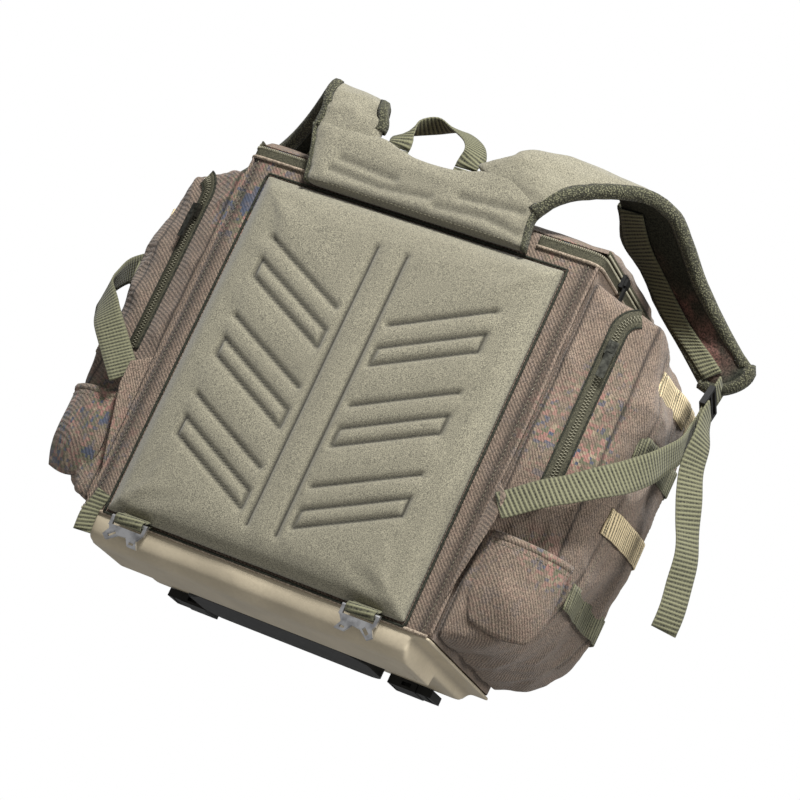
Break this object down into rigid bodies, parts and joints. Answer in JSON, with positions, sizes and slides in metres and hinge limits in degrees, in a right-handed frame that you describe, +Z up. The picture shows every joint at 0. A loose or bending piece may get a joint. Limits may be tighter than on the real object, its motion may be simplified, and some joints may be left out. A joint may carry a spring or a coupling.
{
  "type": "tackle backpack",
  "caption": "Wide fishing backpack with a moulded foam back panel, a hinged zipped lid, side pockets, a padded harness and a flat base.",
  "frame": {"origin": "middle of the width at the flat underside of the base, 120 mm in front of the harness wall", "axes": "+Z up, +X to the right when facing the harness side, +Y away from the wearer towards the front pocket"},
  "size_m": [0.6616, 0.2739, 0.513],
  "materials": {
    "tan_coated_fabric": "smooth coated cloth with a low sheen",
    "black_base_foam": "moulded, satin",
    "inner_board": "matt sheet",
    "khaki_knit_foam": "fine knit over foam, matt",
    "brown_fabric": "heavy twill weave, matt",
    "camo_fabric": "heavy twill with a printed square camouflage",
    "green_webbing": "ribbed woven webbing",
    "band_webbing": "flat woven webbing, green and tan",
    "zip_coil_tape": "nylon coil on woven tape",
    "zip_metal": "black enamelled zip slider",
    "cast_metal": "cast and tumbled, bright",
    "black_buckle_plastic": "moulded acetal, satin"
  },
  "bodies": {
    "pack": {"base_tub": "tan_coated_fabric", "base_pad": "black_base_foam", "base_board": "inner_board", "back_wall": "brown_fabric", "front_wall": "brown_fabric", "left_gusset": "brown_fabric", "right_gusset": "brown_fabric", "frame_sheet": "inner_board", "back_panel": "khaki_knit_foam", "yoke_pad": "khaki_knit_foam", "left_side_pocket": "brown_fabric", "right_side_pocket": "brown_fabric", "left_pocket_zip": "zip_coil_tape", "right_pocket_zip": "zip_coil_tape", "left_wing_pocket": "camo_fabric", "right_wing_pocket": "camo_fabric", "left_wing_anchor": "camo_fabric", "right_wing_anchor": "camo_fabric", "left_molle_bands": "band_webbing", "right_molle_bands": "band_webbing", "front_pocket": "brown_fabric", "front_pocket_zip": "zip_coil_tape", "body_zip_tape": "zip_coil_tape", "handle_anchor": "green_webbing", "left_lower_webbing": "green_webbing", "right_lower_webbing": "green_webbing", "left_hook_loop": "green_webbing", "right_hook_loop": "green_webbing", "left_buckle_female": "black_buckle_plastic", "right_buckle_female": "black_buckle_plastic", "hem_tail": "green_webbing"},
    "lid": {"lid": "brown_fabric", "lid_zip_tape": "zip_coil_tape"},
    "left_lid_slider": {"left_lid_slider": "zip_metal"},
    "right_lid_slider": {"right_lid_slider": "zip_metal"},
    "left_pocket_slider": {"left_pocket_slider": "zip_metal"},
    "right_pocket_slider": {"right_pocket_slider": "zip_metal"},
    "front_pocket_slider": {"front_pocket_slider": "zip_metal"},
    "grab_handle": {"grab_handle": "green_webbing"},
    "left_strap": {"left_shoulder_pad": "khaki_knit_foam", "left_strap_webbing": "green_webbing", "left_ladder_lock": "black_buckle_plastic", "left_webbing_tail": "green_webbing"},
    "right_strap": {"right_shoulder_pad": "khaki_knit_foam", "right_strap_webbing": "green_webbing", "right_ladder_lock": "black_buckle_plastic", "right_webbing_tail": "green_webbing"},
    "left_hook": {"left_metal_hook": "cast_metal"},
    "right_hook": {"right_metal_hook": "cast_metal"},
    "left_buckle": {"left_buckle_male": "black_buckle_plastic"},
    "right_buckle": {"right_buckle_male": "black_buckle_plastic"}
  },
  "joints": [
    {"name": "lid_hinge", "type": "hinge", "parent": "pack", "child": "lid", "pos_m": [0, -0.118, 0.42], "axis": [1, 0, 0], "range_deg": [0, 50]},
    {"name": "left_strap_swing", "type": "hinge", "parent": "pack", "child": "left_strap", "pos_m": [-0.1, -0.1375, 0.463], "axis": [1, 0, 0], "range_deg": [0, 60]},
    {"name": "right_strap_swing", "type": "hinge", "parent": "pack", "child": "right_strap", "pos_m": [0.1, -0.1375, 0.441], "axis": [1, 0, 0], "range_deg": [0, 60]},
    {"name": "grab_handle_hinge", "type": "hinge", "parent": "pack", "child": "grab_handle", "pos_m": [-0.013, -0.119, 0.458], "axis": [1, 0, 0], "range_deg": [0, 60]},
    {"name": "left_lid_slider_run", "type": "slide", "parent": "pack", "child": "left_lid_slider", "axis": [0, 1, 0], "range_m": [0, 0.1]},
    {"name": "right_lid_slider_run", "type": "slide", "parent": "pack", "child": "right_lid_slider", "axis": [0, 1, 0], "range_m": [0, 0.1]},
    {"name": "left_pocket_slider_run", "type": "slide", "parent": "pack", "child": "left_pocket_slider", "axis": [0, 0, -1], "range_m": [0, 0.09]},
    {"name": "right_pocket_slider_run", "type": "slide", "parent": "pack", "child": "right_pocket_slider", "axis": [0, 0, -1], "range_m": [0, 0.09]},
    {"name": "front_pocket_slider_run", "type": "slide", "parent": "pack", "child": "front_pocket_slider", "axis": [-1, 0, 0], "range_m": [0, 0.2]},
    {"name": "left_hook_hinge", "type": "hinge", "parent": "pack", "child": "left_hook", "pos_m": [-0.125, -0.137, 0.025], "axis": [1, 0, 0], "range_deg": [-80, 25]},
    {"name": "right_hook_hinge", "type": "hinge", "parent": "pack", "child": "right_hook", "pos_m": [0.125, -0.137, 0.025], "axis": [1, 0, 0], "range_deg": [-80, 25]},
    {"name": "left_buckle_release", "type": "slide", "parent": "pack", "child": "left_buckle", "axis": [-1, 0, 0], "range_m": [0, 0.024]},
    {"name": "right_buckle_release", "type": "slide", "parent": "pack", "child": "right_buckle", "axis": [1, 0, 0], "range_m": [0, 0.024]}
  ],
  "couplings": [
    {"joint": "left_strap_swing", "follows": "lid_hinge", "ratio": 1.2},
    {"joint": "right_strap_swing", "follows": "lid_hinge", "ratio": 1.2}
  ]
}
